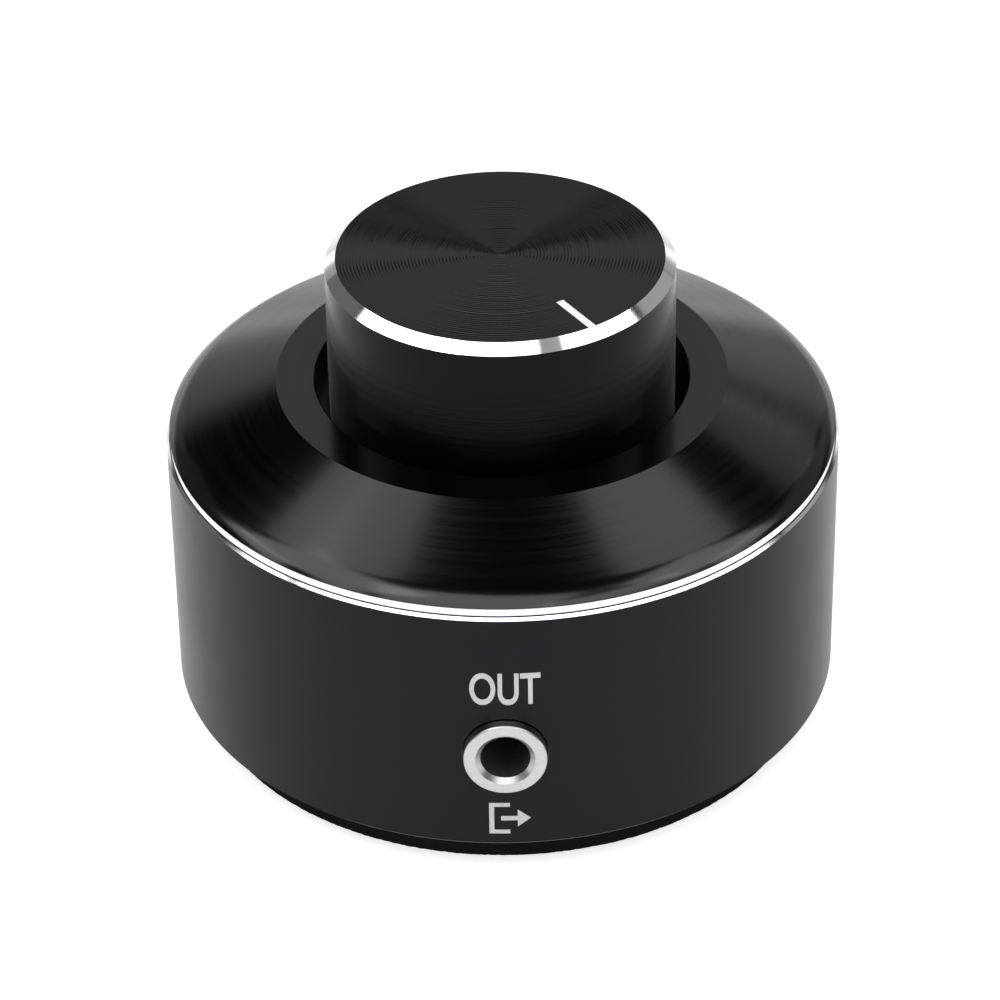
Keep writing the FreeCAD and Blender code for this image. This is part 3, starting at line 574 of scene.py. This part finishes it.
# Jack nose: ring face with a mouth chamfer, turned upright and then laid towards the user
nose = {
    "columns": 96, "boreRadius": 1.8, "mouth": 0.35, "edge": 0.15, "edgeSteps": 4, "rear": 22.4,
    "stemRadius": 2.4, "stemEnd": 19.4,
}


def makeNose(name, node, turn):
    face = -noseFace
    edge = arcPoints((noseRadius - nose["edge"], face - nose["edge"]), nose["edge"], 90, 0,
                     nose["edgeSteps"])
    points = [(nose["boreRadius"], nose["stemEnd"]), (nose["boreRadius"], face - nose["mouth"]),
              (nose["boreRadius"] + nose["mouth"], face), *edge, (noseRadius, nose["rear"]),
              (nose["stemRadius"], nose["rear"]), (nose["stemRadius"], nose["stemEnd"]),
              (nose["boreRadius"], nose["stemEnd"])]
    mesh = turnedMesh(points, "nickel", columns=nose["columns"])
    sideTop = face - nose["edge"]
    repaint(mesh, "bright_cut", lambda radius, z: radius > noseRadius - nose["edge"] and z < sideTop)
    lay = Matrix.Rotation(math.radians(90), 4, "X")
    lift = Matrix.Translation((0, 0, jackAxis * mm))
    mesh.transform(Matrix.Rotation(math.radians(turn), 4, "Z") @ lift @ lay)
    return makePiece(name, mesh, "nickel", "housing", node)


# Printed marks, drawn flat and then bent round the wall
marks = {
    "lift": 0.012, "slice": 0.25, "wordLeft": -2.485, "wordRight": 2.555, "wordLow": 15.13,
    "wordHigh": 17.93, "wordBold": 0.018, "signLeft": -1.225, "signLow": 3.55,
    "cutNear": 0.0001,
}
signShapes = (
    ((0, 0), (1.5, 0), (1.5, 0.36), (0.36, 0.36), (0.36, 2.44), (1.5, 2.44), (1.5, 2.8), (0, 2.8)),
    ((0.85, 1.2), (2.05, 1.2), (2.05, 0.62), (3.0, 1.4), (2.05, 2.18), (2.05, 1.6), (0.85, 1.6)),
)


def wordMesh(word):
    curve = bpy.data.curves.new("word", "FONT")
    curve.body = word
    curve.offset = marks["wordBold"]
    carrier = bpy.data.objects.new("word", curve)
    bpy.context.collection.objects.link(carrier)
    evaluated = carrier.evaluated_get(bpy.context.evaluated_depsgraph_get())
    mesh = bpy.data.meshes.new_from_object(evaluated)
    bpy.data.objects.remove(carrier)
    xs = [vert.co.x for vert in mesh.vertices]
    ys = [vert.co.y for vert in mesh.vertices]
    wide = (marks["wordRight"] - marks["wordLeft"]) / (max(xs) - min(xs))
    tall = (marks["wordHigh"] - marks["wordLow"]) / (max(ys) - min(ys))
    for vert in mesh.vertices:
        vert.co.x = marks["wordLeft"] + (vert.co.x - min(xs)) * wide
        vert.co.y = marks["wordLow"] + (vert.co.y - min(ys)) * tall
    return mesh


def signMesh():
    mesh = bpy.data.meshes.new("sign")
    points, faces = [], []
    for shape in signShapes:
        faces.append(range(len(points), len(points) + len(shape)))
        points += [(marks["signLeft"] + x, marks["signLow"] + y, 0) for x, y in shape]
    mesh.from_pydata(points, [], faces)
    return mesh


def bendToWall(mesh):
    shape = bmesh.new()
    shape.from_mesh(mesh)
    bmesh.ops.triangulate(shape, faces=shape.faces)
    left = min(vert.co.x for vert in shape.verts)
    right = max(vert.co.x for vert in shape.verts)
    cuts = int((right - left) / marks["slice"])
    for number in range(1, cuts + 1):
        geometry = list(shape.verts) + list(shape.edges) + list(shape.faces)
        bmesh.ops.bisect_plane(shape, geom=geometry, dist=marks["cutNear"],
                               plane_no=(1, 0, 0), plane_co=(left + number * marks["slice"], 0, 0))
    reach = cupRadius + marks["lift"]
    for vert in shape.verts:
        angle = vert.co.x / cupRadius
        height = vert.co.y
        vert.co = Vector((math.sin(angle) * reach, -math.cos(angle) * reach, height)) * mm
    shape.to_mesh(mesh)
    shape.free()


def makeMark(name, mesh):
    bendToWall(mesh)
    mesh.name = name
    mesh.materials.clear()
    mesh.materials.append(finishes["print"])
    for face in mesh.polygons:
        if face.normal.dot(face.center - Vector((0, 0, face.center.z))) < 0:
            face.flip()
    piece = bpy.data.objects.new(name, mesh)
    bpy.context.collection.objects.link(piece)
    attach(piece, "housing")
    return piece


makeCup()
makeCover()
makeKnob()
makePad()
makeNose("out_nose_ring", "out_jack_nose", 0)
makeNose("in_nose_ring", "in_jack_nose", 180)
makeMark("out_word", wordMesh("OUT"))
makeMark("out_sign", signMesh())


# Carried-over nodes take the finish of their slot in the record
for part in frame["record"]["subparts"]:
    node = frame["nodes"][part["node"]]
    node.data.materials.clear()
    node.data.materials.append(finishes[part["material_slot"]])
print("pieces made")


# Stage: pale floor, soft lamps and the photograph's viewpoint
stage = {
    "floorSize": 4000, "floorColour": (0.80, 0.80, 0.80, 1), "floorRough": 0.9,
    "floorLift": 0.65, "glossyLift": 0.5,
    "horizonLow": 0.03, "horizonHigh": 0.12, "skyLevel": 0.01,
}
lamps = (
    # name, azimuth from the user's side, elevation, distance, width, height, strength
    ("left box", -80, 54.8, 600, 450, 317, 2.4),
    ("left low box", -94.5, 36.5, 600, 250, 115, 2.4),
    ("right box", 86, 52.5, 600, 310, 266, 2.4),
    ("right low box", 90.5, 36.5, 600, 230, 115, 2.4),
    ("top front box", -16, 60, 650, 500, 350, 2.2),
    ("front right box", 43, 49.5, 700, 447, 147, 2.2),
    ("left rear box", -139.5, 63.5, 650, 230, 246, 1.7),
    ("right rear box", 138.5, 63.6, 650, 230, 215, 1.7),
    ("right wash", 144, 35, 800, 260, 180, 0.5),
    ("right low wash", 155, 22, 900, 295, 383, 0.3),
    ("left low wash", -155, 14, 900, 295, 383, 0.22),
    ("right grey wash", 121, 25, 800, 460, 330, 0.32),
    ("left grey wash", -122, 23, 800, 430, 330, 0.12),
    ("front grey wash", 45, 60, 900, 330, 240, 0.3),
    ("front box", 0, 24, 700, 700, 400, 1.6),
    ("back box", 180, 38, 800, 360, 250, 0.52),
    ("top rear box", 180, 54, 800, 360, 110, 0.5),
    ("back panel", 180, 8, 900, 1560, 560, 0.3),
)
camera = {
    "elevation": 34.303, "turn": 0.38, "roll": -0.86, "distance": 319.09, "lens": 154.2,
    "sensor": 36, "clipStart": 0.01, "rimHeight": 22.39, "right": -0.192, "up": -5.6,
}


def makeFloor():
    half = stage["floorSize"] / 2 * mm
    mesh = bpy.data.meshes.new("floor")
    mesh.from_pydata([(-half, -half, 0), (half, -half, 0), (half, half, 0), (-half, half, 0)], [],
                     [(0, 1, 2, 3)])
    floor = bpy.data.objects.new("floor", mesh)
    bpy.context.collection.objects.link(floor)
    material = bpy.data.materials.new("floor")
    material.use_nodes = True
    tree = material.node_tree
    surface = tree.nodes["Principled BSDF"]
    surface.inputs["Base Color"].default_value = stage["floorColour"]
    surface.inputs["Roughness"].default_value = stage["floorRough"]
    surface.inputs["Specular IOR Level"].default_value = 0.0
    path = addNode(tree, "ShaderNodeLightPath").outputs
    glossy = calc(tree, "MULTIPLY", path["Is Glossy Ray"], stage["glossyLift"])
    seen = calc(tree, "MAXIMUM", path["Is Camera Ray"], glossy)
    glow = addNode(tree, "ShaderNodeEmission", {
        "Strength": calc(tree, "MULTIPLY", seen, stage["floorLift"])})
    both = addNode(tree, "ShaderNodeAddShader", {0: surface.outputs[0], 1: glow.outputs[0]})
    tree.links.new(both.outputs[0], tree.nodes["Material Output"].inputs["Surface"])
    mesh.materials.append(material)


def makeWorld():
    world = bpy.data.worlds.new("studio")
    world.use_nodes = True
    bpy.context.scene.world = world
    tree = world.node_tree
    path = addNode(tree, "ShaderNodeLightPath").outputs
    axes = addNode(tree, "ShaderNodeSeparateXYZ", {
        0: addNode(tree, "ShaderNodeTexCoord").outputs["Generated"]}).outputs
    horizon = addNode(tree, "ShaderNodeMapRange", {
        "Value": axes["Z"], "From Min": stage["horizonLow"], "From Max": stage["horizonHigh"],
        "To Min": 1.0, "To Max": stage["skyLevel"]}, interpolation_type="SMOOTHSTEP").outputs[0]
    level = calc(tree, "MAXIMUM", path["Is Camera Ray"], horizon)
    sky = tree.nodes["Background"]
    sky.inputs["Color"].default_value = (1, 1, 1, 1)
    tree.links.new(level, sky.inputs["Strength"])


def makeLamps():
    for name, azimuth, elevation, distance, width, height, strength in lamps:
        lamp = bpy.data.lights.new(name, "AREA")
        lamp.shape = "RECTANGLE"
        lamp.size = width * mm
        lamp.size_y = height * mm
        lamp.energy = strength * math.pi * width * height * mm * mm
        holder = bpy.data.objects.new(name, lamp)
        bpy.context.collection.objects.link(holder)
        side, rise = math.radians(azimuth), math.radians(elevation)
        away = Vector((math.sin(side) * math.cos(rise), -math.cos(side) * math.cos(rise),
                       math.sin(rise)))
        holder.location = away * distance * mm
        holder.rotation_euler = away.to_track_quat("Z", "Y").to_euler()


def makeCamera():
    rise, roll = math.radians(camera["elevation"]), math.radians(camera["roll"])
    turn = Matrix.Rotation(math.radians(camera["turn"]), 3, "Z")
    ahead = turn @ Vector((0, math.cos(rise), -math.sin(rise)))
    level = turn @ Vector((1, 0, 0))
    upright = turn @ Vector((0, math.sin(rise), math.cos(rise)))
    right = level * math.cos(roll) + upright * math.sin(roll)
    up = upright * math.cos(roll) - level * math.sin(roll)
    place = (Vector((0, 0, camera["rimHeight"])) - ahead * camera["distance"]
             + right * camera["right"] + up * camera["up"]) * mm
    view = bpy.data.cameras.new("view")
    view.lens = camera["lens"]
    view.sensor_width = camera["sensor"]
    view.clip_start = camera["clipStart"]
    holder = bpy.data.objects.new("view", view)
    bpy.context.collection.objects.link(holder)
    holder.matrix_world = Matrix((
        (right.x, up.x, -ahead.x, place.x), (right.y, up.y, -ahead.y, place.y),
        (right.z, up.z, -ahead.z, place.z), (0, 0, 0, 1)))
    bpy.context.scene.camera = holder


makeFloor()
makeWorld()
makeLamps()
makeCamera()
bpy.context.scene.view_settings.view_transform = "Standard"
print("stage made")
